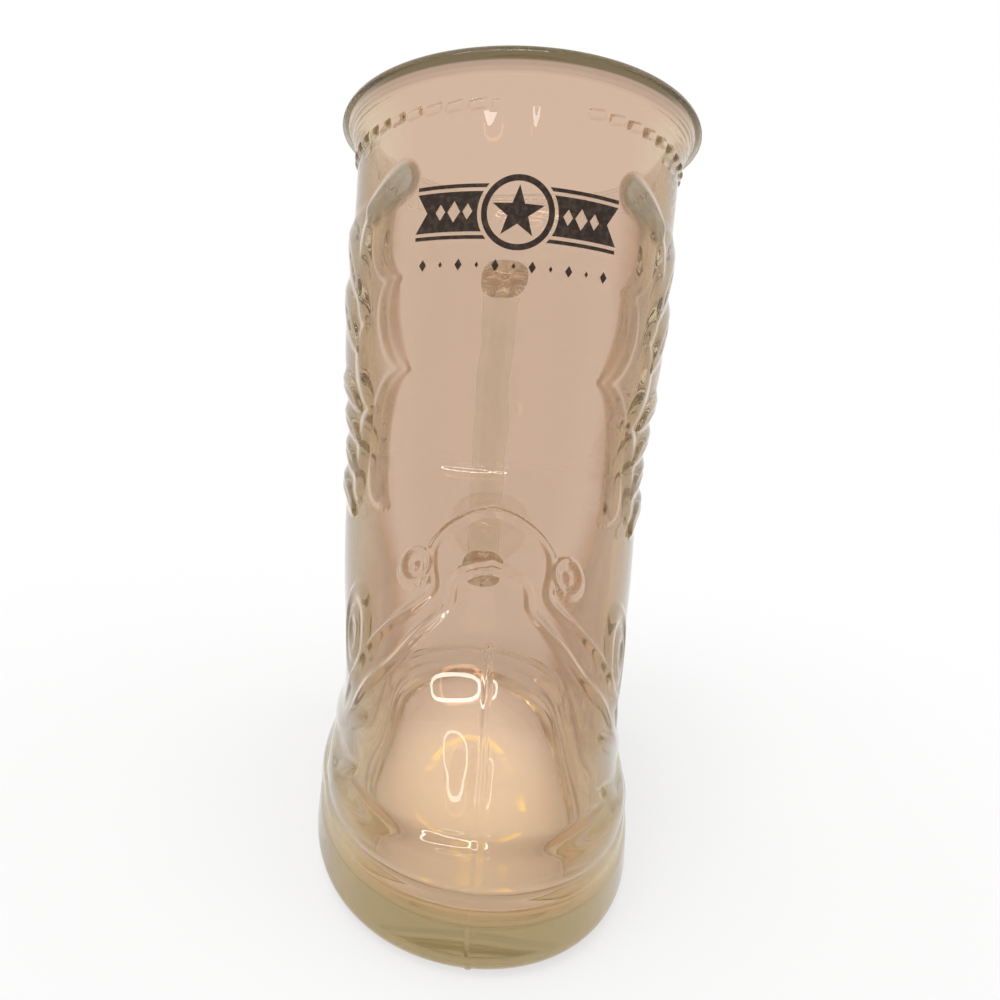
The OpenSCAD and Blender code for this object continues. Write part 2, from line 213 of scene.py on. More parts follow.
def rimRelief(turn, up):
    proud = np.zeros(turn.shape)
    for ringUp, half, height in rimTrim["rings"]:
        proud += height * roundTop(up - ringUp, half)
    pitch = 360 / rimTrim["beadCount"]
    along = ((turn + pitch / 2) % pitch - pitch / 2) * np.pi / 180 * shaftRadius
    across = up - rimTrim["beadUp"] - rimTrim["beadSlant"] * along
    bead = np.clip(1 - np.abs(2 * along / rimTrim["beadLong"]) ** rimTrim["longSquare"], 0, 1)
    bead = bead * np.clip(1 - np.abs(2 * across / rimTrim["beadTall"]) ** rimTrim["tallSquare"], 0, 1)
    low, high = rimTrim["gap"]
    bare = (turn > low) & (turn < high)
    return (proud + np.where(bare, 0, rimTrim["beadProud"] * bead)) * backShare(turn)


# Side panels: a chain of crescent leaves round the plain front, a second chain behind it,
# and rows of small leaves that meet at the sides. Their shade values paint shade, darker olive, on the panel
# and the leaves
sidePanel = {
    "ground": 0.4, "groundWide": 3.0, "top": 132.0, "low": 62.0,
    # Scallops of each chain: up, turn and depth
    "edge": [(134.0, 35.0, 11.0), (112.2, 36.5, 6.5), (92.8, 31.0, 12.0), (63.0, 36.0, 0.0)],
    "edgeHalf": 4.0, "edgeTall": 0.35, "edgeShade": 0.1,
    "second": [(127.0, 52.0, 6.0), (103.0, 50.0, 6.0), (84.0, 48.0, 6.0), (63.0, 52.0, 0.0)],
    "secondHalf": 4.4, "secondTall": 0.5, "secondShade": 0.35,
    "petal": [(38.0, 133.0), (42.0, 131.8), (46.5, 130.2), (51.0, 128.4)],      # turn, up
    "petalHalf": 4.8, "petalTall": 0.55, "petalFlat": 2.5, "petalReach": 5,
    "leafFrom": 60.0, "leafTo": 92.0, "leafPitch": 8.0, "leafHalf": 4.8, "leafTall": 0.9, "leafShade": 0.4,
    "leafRoot": 56.0, "leafTip": 92.0, "leafRise": 8.0,
    "longLeaves": [(97.0, 117.0, 6.4), (109.0, 131.0, 6.6)], "longTall": 0.8,   # root up, tip up, half-width
    "panelShade": 0.12,
}
# How a leaf widens, narrows, bows and is veined
leafForm = {
    "reach": 0.5, "least": 0.02, "bend": 0.6, "ends": 0.001, "wide": 0.8, "narrow": 0.7, "bow": 0.5,
    "vein": 0.25, "veinHalf": 0.6, "veinStart": 4, "arcPoints": 25,
}


def scallopPaths(scallops):
    paths = []
    for (upTop, turnTop, depth), (upLow, turnLow, _) in zip(scallops, scallops[1:]):
        share = (1 - np.cos(np.linspace(0, np.pi, leafForm["arcPoints"]))) / 2
        turn = blendTo(turnTop, turnLow, share) + depth * np.sqrt(np.clip(1 - (2 * share - 1) ** 2, 0, 1))
        paths.append((turn, blendTo(upTop, upLow, share)))
    return paths


# A leaf along a path, widest in its middle
def crescent(points, path, half):
    away, place = nearPath(points, path, half + leafForm["reach"])
    width = half * np.maximum(np.sin(np.pi * place), leafForm["least"]) ** leafForm["bend"]
    return softTop(away, width)


def leafShape(side, up, root, tip, half):
    step = np.array(tip) - np.array(root)
    long = np.hypot(*step)
    along = ((side - root[0]) * step[0] + (up - root[1]) * step[1]) / long ** 2
    across = ((side - root[0]) * step[1] - (up - root[1]) * step[0]) / long
    across = across + half * leafForm["bow"] * np.sin(np.pi * np.clip(along, 0, 1))     # bows upwards
    place = np.clip(along, leafForm["ends"], 1 - leafForm["ends"])
    body = softTop(across, half * np.sin(np.pi * place ** leafForm["wide"]) ** leafForm["narrow"])
    vein = leafForm["vein"] * np.exp(-(across / leafForm["veinHalf"]) ** 2)
    vein = vein * np.clip(along * leafForm["veinStart"], 0, 1)
    return np.where((along > 0) & (along < 1), np.clip(body - vein * body, 0, None), 0)


def sideRelief(points, turn, up):
    panel = sidePanel
    fold = 90 - np.abs(np.abs(turn) - 90)                   # the back repeats the front
    folded = points.copy()
    folded[..., 0], folded[..., 1] = np.abs(points[..., 0]), -np.abs(points[..., 1])
    perTurn = np.pi / 180 * shaftRadius
    side = fold * perTurn
    edgeTurn, edgeUp = (np.concatenate(part) for part in zip(*scallopPaths(panel["edge"])))
    edgeSide = np.interp(-up, -edgeUp, edgeTurn) * perTurn
    inPanel = ease((up - panel["low"]) / panel["groundWide"])
    inPanel = inPanel * ease((panel["top"] - up) / panel["groundWide"])
    onPanel = ease((side - edgeSide) / panel["groundWide"]) * inPanel
    # shade: painted shade, darker olive, on the panel, the leaves and the petal
    leaves, shade = np.zeros(turn.shape), panel["panelShade"] * onPanel
    for chain in ("edge", "second"):
        for turns, ups in scallopPaths(panel[chain]):
            leaf = crescent(folded, onBoot(turns, ups), panel[chain + "Half"])
            leaves = joined(leaves, panel[chain + "Tall"] * leaf)
            shade = np.maximum(shade, panel[chain + "Shade"] * leaf)
    away = awayFrom(folded, pathOnBoot(panel["petal"]), panel["petalReach"])
    petal = np.clip(panel["petalFlat"] * softTop(away, panel["petalHalf"]), 0, 1)
    leaves, shade = joined(leaves, panel["petalTall"] * petal), np.maximum(shade, petal)
    root, tip = panel["leafRoot"] * perTurn, panel["leafTip"] * perTurn
    rows = [(rootUp, rootUp + panel["leafRise"], panel["leafHalf"], panel["leafTall"])
            for rootUp in np.arange(panel["leafFrom"], panel["leafTo"], panel["leafPitch"])]
    rows += [(*row, panel["longTall"]) for row in panel["longLeaves"]]
    for rootUp, tipUp, half, tall in rows:
        leaf = leafShape(side, up, (root, rootUp), (tip, tipUp), half)
        leaves = joined(leaves, tall * leaf)
        shade = np.maximum(shade, panel["leafShade"] * leaf)
    return (panel["ground"] * onPanel + leaves) * backShare(turn), shade


# Vamp: two cords of piping, a rosette, a scroll and two folds on each side, the seam of the mould,
# the ridge of the toe cap and the welt. Places are given as (turn, up)
vampTrim = {
    "outerCord": [(0, 64.6), (6.2, 63.5), (12.5, 60.9), (16.3, 57.4), (15.9, 54.2), (14.5, 50.9),
                  (17.6, 48.4), (22.4, 45.9), (30.7, 41), (39.5, 34.5), (50, 26)],
    "innerCord": [(0, 55.1), (4.8, 54.3), (8.2, 53.1), (9.5, 51.2), (9.7, 49), (13.5, 46.2),
                  (17.4, 43.4), (23, 39.1), (31.6, 34.3), (43, 25.5)],
    "cordHalf": 1.2, "cordTall": 0.38,
    "rosette": (20.8, 53.9), "rosetteRings": (2.6, 0.1), "rosetteHalf": 0.8, "rosetteTall": 0.6,
    "scroll": (43.0, 40.0), "scrollTall": 7.0, "scrollWide": 5.0, "scrollHalf": 2.3, "scrollProud": 0.4,
    "scrollShares": (1.0, 0.45), "reach": 3,
    "seamHalf": 0.6, "seamTall": 0.2, "seamFrom": 44.0,
    # Folds: places, half-width and height of each
    "folds": [([(92, 14), (78, 16), (66, 18.5), (54, 22), (42, 26.5), (30, 30)], 3.8, 0.6),
              ([(96, 5), (80, 7), (66, 9.5), (54, 12.5), (44, 16.5), (32, 22)], 4.2, 0.7)],
    # Painted shade along the folds
    "foldShade": 0.4,
    "capUp": 16.8, "capAbove": 3.4, "capBelow": 7.0, "capTall": 1.2, "capTurns": (40.0, 70.0),
    "weltUp": 12.6, "weltHalf": 0.8, "weltDeep": 0.2, "beadUp": 11.0, "beadHalf": 1.3, "beadTall": 0.35,
}


def ringOnBoot(middle, wide, tall, steps=36):
    turn, up = middle
    angle = np.linspace(0, 2 * np.pi, steps + 1)
    perTurn = np.pi / 180 * halfWidth(np.array(up))
    return onBoot(turn + wide * np.sin(angle) / perTurn, up + tall * np.cos(angle))


def vampRelief(points, turn, up):
    trim = vampTrim
    mirrored = points.copy()
    mirrored[..., 0] = np.abs(mirrored[..., 0])
    proud, shade = np.zeros(turn.shape), np.zeros(turn.shape)
    for cord in ("outerCord", "innerCord"):
        away = awayFrom(mirrored, pathOnBoot(trim[cord]), trim["reach"])
        proud = joined(proud, trim["cordTall"] * roundTop(away, trim["cordHalf"]))
    for radius in trim["rosetteRings"]:
        away = awayFrom(mirrored, ringOnBoot(trim["rosette"], radius, radius), trim["reach"])
        proud = joined(proud, trim["rosetteTall"] * roundTop(away, trim["rosetteHalf"]))
    for share in trim["scrollShares"]:
        ring = ringOnBoot(trim["scroll"], trim["scrollWide"] * share, trim["scrollTall"] * share)
        away = awayFrom(mirrored, ring, trim["reach"])
        proud = joined(proud, trim["scrollProud"] * softTop(away, trim["scrollHalf"]))
    for places, half, tall in trim["folds"]:
        fold = crescent(mirrored, pathOnBoot(places), half)
        proud, shade = joined(proud, tall * fold), np.maximum(shade, trim["foldShade"] * fold)
    seam = trim["seamTall"] * roundTop(points[..., 0], trim["seamHalf"]) * (up < trim["seamFrom"])
    groove = trim["weltDeep"] * softTop(up - trim["weltUp"], trim["weltHalf"])
    bead = trim["beadTall"] * softTop(up - trim["beadUp"], trim["beadHalf"])
    capFrom, capTo = trim["capTurns"]
    capHalf = np.where(up > trim["capUp"], trim["capAbove"], trim["capBelow"])
    capShare = 1 - ease((np.abs(turn) - capFrom) / (capTo - capFrom))
    cap = trim["capTall"] * softTop(up - trim["capUp"], capHalf) * capShare
    return joined(proud, cap) + seam + (bead - groove) * backShare(turn) ** 2, shade


# Slow ripples that pressed glass has
ripple = {
    "outside": 0.035, "outsideShift": 0.4, "inside": 0.09, "insideShift": 1.9, "long": (23.0, 31.0, 17.0),
    "spread": 1.7, "tilt": 0.6, "tiltStep": 0.2, "phase": 2.1, "soleUp": 12.0, "rimDrop": 8.0, "fade": 10.0,
}


def rippleAt(points, height, shift):
    waves = 0
    for number, long in enumerate(ripple["long"]):
        angle = shift + ripple["spread"] * number
        direction = np.array([math.cos(angle), math.sin(angle), ripple["tilt"] + ripple["tiltStep"] * number])
        waves = waves + np.sin(points @ direction * 2 * np.pi / long + ripple["phase"] * number + shift)
    return height * waves / len(ripple["long"])


# Points round the boot stand closer together on the front, which has the finest trim
bootMesh = {
    "frontTurn": 70, "frontPoints": 340, "backPoints": 220, "rowStep": 0.5, "rimFrom": 144.0, "rimStep": 0.2,
    "insideStep": 1.6, "insideDrop": 1, "roundRows": 8,
}
# Where the painted colours lie on the outside of the glass, by the way that it faces: the painted tan
# forward, greyer aside, painted shade on the edges, and the painted tan on the lip
tints = {
    "sideFrom": 0.55, "sideOver": 0.35, "sideBack": 0.6, "sideBackOver": 0.35,
    "tanBack": 0.45, "tanOver": 0.9, "underOver": 0.4,
    "edgeShade": 0.75, "edgeFrom": 0.85, "edgeOver": 0.1, "edgeBack": 0.35, "edgeBackOver": 0.3,
    "lipAhead": 0.1, "lipOver": 0.8, "lipInside": 0.5,
}


def turnsAround():
    half = bootMesh["frontTurn"]
    front = np.linspace(-half, half, bootMesh["frontPoints"], endpoint=False)
    back = np.linspace(half, 360 - half, bootMesh["backPoints"], endpoint=False)
    turns = np.concatenate([front, back])
    start = np.argmin(np.abs(turns))
    turns = np.roll(turns, -start)
    return (turns + 180) % 360 - 180


def meshObject(name, points, faces, material):
    mesh = bpy.data.meshes.new(name)
    mesh.from_pydata(points.tolist(), [], faces)
    mesh.validate()
    mesh.update()
    mesh.polygons.foreach_set("use_smooth", [True] * len(mesh.polygons))
    mesh.materials.append(material)
    piece = bpy.data.objects.new(name, mesh)
    scene.collection.objects.link(piece)
    return piece


# Skin over rows of points, closed at both ends by strips from side to side
def closedSkin(rings):
    rows, around = rings.shape[:2]
    index = np.arange(rows * around).reshape(rows, around)
    nextOne = np.roll(index, -1, axis=1)
    quads = np.stack([index[:-1], nextOne[:-1], nextOne[1:], index[1:]], axis=-1).reshape(-1, 4)
    faces = quads.tolist()
    for ring, flip in ((index[0], True), (index[-1], False)):
        left = ring[1:around // 2]
        right = ring[:around // 2:-1]
        strips = [[a, b, d, c] for a, b, c, d in zip(left, left[1:], right, right[1:])]
        strips += [[ring[0], left[0], right[0]], [left[-1], ring[around // 2], right[-1]]]
        faces += [list(map(int, face[::-1] if flip else face)) for face in strips]
    return rings.reshape(-1, 3), faces


def makeBoot(material):
    turns = turnsAround()
    rounding = np.linspace(0, np.pi / 2, bootMesh["roundRows"], endpoint=False)
    lipMiddle = boot["height"] - boot["lip"] / 2
    # Outside, from the rounded edge of the sole up to the rim
    edgeUp = boot["soleRound"] * (1 - np.cos(rounding))
    edgeInset = boot["soleRound"] * (1 - np.sin(rounding))
    rises = np.concatenate([np.arange(boot["soleRound"], bootMesh["rimFrom"], bootMesh["rowStep"]),
                            np.arange(bootMesh["rimFrom"], lipMiddle, bootMesh["rimStep"])])
    ups = np.concatenate([edgeUp, rises])[:, None] + 0 * turns
    insets = np.concatenate([edgeInset, 0 * rises])[:, None] + 0 * turns
    across = turns[None, :] + 0 * ups
    outside = onBoot(across, ups, insets)
    sides, sideShade = sideRelief(outside, across, ups)
    vamp, vampShade = vampRelief(outside, across, ups)
    shade = np.maximum(sideShade, vampShade)
    proud = rimRelief(across, ups) + sides + vamp
    waves = rippleAt(outside, ripple["outside"], ripple["outsideShift"])
    proud += waves * ease((ups - ripple["soleUp"]) / ripple["fade"])
    # Painted colours of the outside: a painted tan where the walls face forward, standing in for warm
    # surroundings seen through the glass, greyer where they face aside, and painted shade along the edges
    skin = normals(outside)
    toSide, toBack = np.abs(skin[..., 0]), skin[..., 1]
    # aside: where the painted tan turns greyer and darker, on walls that face aside
    aside = ease((toSide - tints["sideFrom"]) / tints["sideOver"])
    aside = aside * ease((tints["sideBack"] - toBack) / tints["sideBackOver"])
    tan = np.maximum(ease((tints["tanBack"] - toBack) / tints["tanOver"]), aside)
    tan = tan * ease((skin[..., 2] + 1) / tints["underOver"])
    # Painted shade along the edges that face aside
    edge = tints["edgeShade"] * ease((toSide - tints["edgeFrom"]) / tints["edgeOver"])
    shade = np.maximum(shade, edge * ease((tints["edgeBack"] - toBack) / tints["edgeBackOver"]))
    outside = outside + skin * proud[..., None]
    # Rounded rim
    lipTurn = np.linspace(0, np.pi, 2 * bootMesh["roundRows"] + 1)[:, None]
    lipRadius = boot["rimWide"] / 2 - boot["lip"] / 2 * (1 - np.cos(lipTurn))
    angle = np.radians(turns)[None, :]
    lip = np.stack([lipRadius * np.sin(angle), -lipRadius * np.cos(angle),
                    lipMiddle + boot["lip"] / 2 * np.sin(lipTurn) + 0 * angle], axis=-1)
    # Inside, from the rim down to the rounded floor
    floorTurn = np.linspace(0, np.pi / 2, 2 * bootMesh["roundRows"] + 1)
    floorTop = boot["floorThick"] + boot["floorRise"]
    floorInset = blendTo(boot["floorHeel"], boot["floorToe"], (1 + np.cos(np.radians(turns))) / 2)
    falls = np.arange(lipMiddle - bootMesh["insideDrop"], floorTop, -bootMesh["insideStep"])
    innerUps = np.concatenate([falls, floorTop - boot["floorRise"] * np.sin(floorTurn)])[:, None] + 0 * turns
    innerInsets = np.concatenate([0 * falls, 1 - np.cos(floorTurn)])[:, None] * floorInset
    inside = inBoot(turns[None, :] + 0 * innerUps, innerUps, innerInsets)
    calm = ease((boot["height"] - ripple["rimDrop"] - innerUps) / ripple["fade"])
    calm = calm * ease((innerUps - floorTop) / ripple["fade"])
    waves = rippleAt(inside, ripple["inside"], ripple["insideShift"]) * calm
    inside = inside + normals(inside) * waves[..., None]
    rings = np.concatenate([outside, lip, inside])
    rings[..., 1] += axisBack
    points, faces = closedSkin(rings * mm)
    piece = meshObject("glass_boot", points, faces, material)
    # The lip gets the painted tan on its front, half as much on its inner side
    lipTan = ease((tints["lipAhead"] + np.cos(angle)) / tints["lipOver"])
    tan = np.concatenate([tan, lipTan * np.where(lipTurn < np.pi / 2, 1.0, tints["lipInside"])])
    for name, part in (("tan_share", tan), ("side_share", aside), ("leaf_shade", shade)):
        values = np.zeros(rings.shape[:2])                  # the inside of the glass stays clear
        values[:len(part)] = part
        piece.data.attributes.new(name, "FLOAT", "POINT").data.foreach_set("value", values.ravel())
    return piece


# Handle: a squared half-ring behind the boot, its roots spread against the back
handle = {
    "wide": 13.0, "thick": 9.0, "fingers": 23.0, "topUp": 130.0, "lowUp": 37.0,
    "rootFlare": 2.0, "rootShare": 0.22, "seat": 0.05,
    "square": 3.2, "sectionSquare": 2.6, "rings": 120, "around": 48,
}


def squared(value, square):
    return np.sign(value) * np.abs(value) ** (2 / square)


def handleLine(turn):
    middle, half = (handle["topUp"] + handle["lowUp"]) / 2, (handle["topUp"] - handle["lowUp"]) / 2
    up = middle + half * squared(np.sin(turn), handle["square"])
    out = blendTo(backReach(up), shaftRadius, np.clip(np.cos(turn), 0, 1))
    return out + (handle["fingers"] + handle["thick"] / 2) * squared(np.cos(turn), handle["square"]), up


def makeHandle(material):
    turn = np.linspace(-np.pi / 2, np.pi / 2, handle["rings"] + 1)[:, None]
    out, up = handleLine(turn)
    stepOut, stepUp = np.gradient(out, axis=0), np.gradient(up, axis=0)
    long = np.hypot(stepOut, stepUp)
    stepOut, stepUp = stepOut / long, stepUp / long
    near = np.clip(1 - (np.pi / 2 - np.abs(turn)) / (np.pi / 2 * handle["rootShare"]), 0, 1) ** 2
    section = np.linspace(0, 2 * np.pi, handle["around"], endpoint=False)[None, :]
    flare = handle["rootFlare"] / 2 * near
    x = (handle["wide"] / 2 + flare) * squared(np.cos(section), handle["sectionSquare"])
    thick = (handle["thick"] / 2 + flare) * squared(np.sin(section), handle["sectionSquare"])
    z = up - thick * stepOut
    y = out + thick * stepUp
    for end in (0, -1):
        z[end] = up[end] - thick[end] * np.sign(stepOut[end])
        y[end] = backReach(z[end]) * np.sqrt(1 - (x[end] / halfWidth(z[end])) ** 2) + handle["seat"]
    rings = np.stack([x + 0 * z, y + axisBack, z], axis=-1)
    points, faces = closedSkin(rings * mm)
    return meshObject("glass_handle", points, faces, material)


# Materials
def newMaterial(name):
    material = bpy.data.materials.new(name)
    material.use_nodes = True
    nodes, links = material.node_tree.nodes, material.node_tree.links
    return material, nodes, links, nodes["Principled BSDF"]


# Colours of the glass. The clear and handle tints and the thick colour are the glass's own. The others are
# painted on the outside of the boot: a painted tan standing in for warm surroundings seen through the glass,
# and painted shade on the sides, leaves, rim and sole
glass = {
    "clearTint": (0.93, 0.92, 0.91), "paintedTan": (0.46, 0.235, 0.13), "paintedSideTan": (0.52, 0.335, 0.17),
    # Painted shade on the leaves, the petals, the folds and the edges
    "paintedShade": (0.20, 0.15, 0.085),
    # The painted tan, yellower towards the foot
    "paintedFootTan": (0.47, 0.235, 0.098), "footFrom": 0.045, "footTo": 0.018,       # metres over the table
    # Painted shade: a dark band at the top of the lip, on its forward face
    "paintedRimShade": (0.062, 0.034, 0.007), "rimFrom": 0.1532, "rimTo": 0.1536,
    # Painted shade: the sole darker and more olive on its forward face
    "paintedSoleShade": (0.25, 0.156, 0.056), "soleFrom": 0.0100, "soleTo": 0.0075,
    "handleTint": (0.90, 0.93, 0.87), "handleDensity": 0.5,
    "refraction": 1.52, "thickColour": (0.60, 0.50, 0.08), "thickDensity": 5.0,
    "smooth": 0.0, "smudge": 0.06, "smudgeSize": 28.0, "smudgeDetail": 5, "smudgeFrom": 0.55, "smudgeTo": 0.8,
    "wave": 0.015, "waveSize": 55.0, "waveDetail": 1,
}


# Share of the way between two places along an axis of the mug
def shareAlong(nodes, links, place, axis, start, end):
    split = nodes.new("ShaderNodeSeparateXYZ")
    share = nodes.new("ShaderNodeMapRange")
    share.interpolation_type = "SMOOTHSTEP"
    share.inputs["From Min"].default_value = start
    share.inputs["From Max"].default_value = end
    links.new(place.outputs["Object"], split.inputs["Vector"])
    links.new(split.outputs[axis], share.inputs["Value"])
    return share.outputs["Result"]


def colourMix(nodes, links, share, first, second):
    mix = nodes.new("ShaderNodeMix")
    mix.data_type = "RGBA"
    links.new(share, mix.inputs["Factor"])
    for socket, colour in ((mix.inputs[6], first), (mix.inputs[7], second)):
        if isinstance(colour, tuple):
            socket.default_value = (*colour, 1)
        else:
            links.new(colour, socket)
    return mix.outputs[2]


def shareOf(nodes, name):
    share = nodes.new("ShaderNodeAttribute")
    share.attribute_name = name
    return share.outputs["Fac"]


def glassMaterial(name, clearTint, density, withTan):
    material, nodes, links, shader = newMaterial(name)
    shader.inputs["Transmission Weight"].default_value = 1
    shader.inputs["IOR"].default_value = glass["refraction"]
    shader.inputs["Base Color"].default_value = (*clearTint, 1)
    place = nodes.new("ShaderNodeTexCoord")
    if withTan:
        # Painted colours: the painted tan, greyer aside and yellower at the foot, with painted shade on the
        # rim, the leaves and the sole, laid on where tan_share is 1
        toRim = shareAlong(nodes, links, place, "Z", glass["rimFrom"], glass["rimTo"])
        tint = colourMix(nodes, links, toRim, glass["paintedTan"], glass["paintedRimShade"])
        toFoot = shareAlong(nodes, links, place, "Z", glass["footFrom"], glass["footTo"])
        tint = colourMix(nodes, links, toFoot, tint, glass["paintedFootTan"])
        tint = colourMix(nodes, links, shareOf(nodes, "side_share"), tint, glass["paintedSideTan"])
        tint = colourMix(nodes, links, shareOf(nodes, "leaf_shade"), tint, glass["paintedShade"])
        toSole = shareAlong(nodes, links, place, "Z", glass["soleFrom"], glass["soleTo"])
        tint = colourMix(nodes, links, toSole, tint, glass["paintedSoleShade"])
        tint = colourMix(nodes, links, shareOf(nodes, "tan_share"), clearTint, tint)
        links.new(tint, shader.inputs["Base Color"])
    smudge = nodes.new("ShaderNodeTexNoise")                # handling marks in the polish
    smudge.inputs["Scale"].default_value = glass["smudgeSize"]
    smudge.inputs["Detail"].default_value = glass["smudgeDetail"]
    spread = nodes.new("ShaderNodeMapRange")
    spread.inputs["From Min"].default_value = glass["smudgeFrom"]
    spread.inputs["From Max"].default_value = glass["smudgeTo"]
    spread.inputs["To Min"].default_value = glass["smooth"]
    spread.inputs["To Max"].default_value = glass["smudge"]
    links.new(place.outputs["Object"], smudge.inputs["Vector"])
    links.new(smudge.outputs["Fac"], spread.inputs["Value"])
    links.new(spread.outputs["Result"], shader.inputs["Roughness"])
    wave = nodes.new("ShaderNodeTexNoise")                  # faint waves of the mould
    wave.inputs["Scale"].default_value = glass["waveSize"]
    wave.inputs["Detail"].default_value = glass["waveDetail"]
    bump = nodes.new("ShaderNodeBump")
    bump.inputs["Strength"].default_value = glass["wave"]
    bump.inputs["Distance"].default_value = mm
    links.new(place.outputs["Object"], wave.inputs["Vector"])
    links.new(wave.outputs["Fac"], bump.inputs["Height"])
    links.new(bump.outputs["Normal"], shader.inputs["Normal"])
    absorb = nodes.new("ShaderNodeVolumeAbsorption")        # green where the glass is thick
    absorb.inputs["Color"].default_value = (*glass["thickColour"], 1)
    absorb.inputs["Density"].default_value = density
    links.new(absorb.outputs["Volume"], nodes["Material Output"].inputs["Volume"])
    return material


ink = {
    "dark": (0.026, 0.015, 0.010), "worn": (0.075, 0.048, 0.033), "rough": 0.5, "gloss": 0.2,
    "grain": 900.0, "grainDetail": 3, "darkTo": 0.45, "wornFrom": 0.75,
}


def inkMaterial():
    material, nodes, links, shader = newMaterial("fired_ink")
    place = nodes.new("ShaderNodeTexCoord")
    grain = nodes.new("ShaderNodeTexNoise")
    grain.inputs["Scale"].default_value = ink["grain"]
    grain.inputs["Detail"].default_value = ink["grainDetail"]
    ramp = nodes.new("ShaderNodeValToRGB")
    dark, worn = ramp.color_ramp.elements
    dark.position, worn.position = ink["darkTo"], ink["wornFrom"]
    dark.color, worn.color = (*ink["dark"], 1), (*ink["worn"], 1)
    links.new(place.outputs["Object"], grain.inputs["Vector"])
    links.new(grain.outputs["Fac"], ramp.inputs["Fac"])
    links.new(ramp.outputs["Color"], shader.inputs["Base Color"])
    shader.inputs["Roughness"].default_value = ink["rough"]
    shader.inputs["Specular IOR Level"].default_value = ink["gloss"]
    return material


glassFinish = glassMaterial("pressed_glass", glass["clearTint"], glass["thickDensity"], True)
handleFinish = glassMaterial("handle_glass", glass["handleTint"], glass["handleDensity"], False)
inkFinish = inkMaterial()
print("materials made")

bootPiece = makeBoot(glassFinish)
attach(bootPiece, "root")
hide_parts("boot_body")
print("boot made:", len(bootPiece.data.polygons), "faces")

handlePiece = makeHandle(handleFinish)
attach(handlePiece, "root")
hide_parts("handle")
print("handle made:", len(handlePiece.data.polygons), "faces")

for nodeName in ("print_roundel", "print_band", "print_border", "print_rule"):
    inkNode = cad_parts[nodeName]
    inkNode.data.materials.clear()
    inkNode.data.materials.append(inkFinish)
print("print inked")

# Stage: a pale floor, a pale surround and soft lamps
stage = {
    "floorHalf": 4.0, "floorDrop": 0.0004, "floorColour": (0.97, 0.97, 0.97), "floorRough": 0.9,
    "floorPale": 0.6,
    "poolAt": (0.0, -0.014), "poolHalf": (0.031, 0.070), "poolGlow": 1.3, "poolFull": 0.25,
    "ringAt": (0.0, -0.032), "ringHalf": (0.0125, 0.034), "ringFrom": 0.78, "ringFull": 0.94,
    "gold": (1.6, 1.42, 0.72), "goldSize": 75.0, "goldFrom": 0.47, "goldTo": 0.56,
    "surround": (1.0, 1.0, 1.0), "fill": 1.0,
    "ceiling": (0.86, 0.84, 0.80), "ceilingFrom": 0.5, "ceilingTo": 0.9,
    "lampAt": (-0.35, -0.6, 1.0), "lampAim": (0, 0, 0.05), "lampSpread": 50.0, "lampPower": 0.9,
    "glintsFrom": (0.0, -0.06, 0.03), "glintPoints": 96, "glintColour": (1, 0.97, 0.92), "bounces": 64,
}
# Lamps that only show as reflections: the way to each, the way that it is long,
# half sizes of its ring, how square the ring is, its width and its glow
glints = [
    {"name": "ceiling_lamp", "way": (-0.285, -0.455, 0.845), "along": (0.978, -0.102, 0.184),
     "wide": 0.28, "tall": 0.10, "band": 0.028, "square": 3.2, "glow": 14.0},
    {"name": "small_lamp", "way": (0.07, -0.475, 0.877), "along": (0.978, -0.102, 0.184),
     "wide": 0.075, "tall": 0.07, "band": 0.02, "square": 2.6, "glow": 14.0},
    {"name": "tall_lamp", "way": (-0.87, -2.33, 1.68), "along": (1, 0, 0),
     "wide": 0.48, "tall": 0.46, "band": 0.054, "square": 2.4, "glow": 7.5},
    {"name": "narrow_lamp", "way": (0.39, -2.54, 1.56), "along": (1, 0, 0),
     "wide": 0.18, "tall": 0.28, "band": 0.042, "square": 2.2, "glow": 6.5},
]


# 1 for what the camera sees, straight or in the glass
def seenDirectly(nodes, links):
    path = nodes.new("ShaderNodeLightPath")
    add, addMore = nodes.new("ShaderNodeMath"), nodes.new("ShaderNodeMath")
    addMore.use_clamp = True
    links.new(path.outputs["Is Camera Ray"], add.inputs[0])
    links.new(path.outputs["Is Glossy Ray"], add.inputs[1])
    links.new(add.outputs[0], addMore.inputs[0])
    links.new(path.outputs["Is Transmission Ray"], addMore.inputs[1])
    return addMore.outputs[0]


# 0 in the middle of an oval on the floor, 1 on its outline
def farFrom(nodes, links, middle, half):
    place = nodes.new("ShaderNodeTexCoord")
    move = nodes.new("ShaderNodeMapping")
    move.vector_type = "TEXTURE"
    move.inputs["Location"].default_value = (*middle, 0)
    move.inputs["Scale"].default_value = (*half, 1)
    far = nodes.new("ShaderNodeVectorMath")
    far.operation = "LENGTH"
    links.new(place.outputs["Object"], move.inputs["Vector"])
    links.new(move.outputs["Vector"], far.inputs[0])
    return far.outputs["Value"]


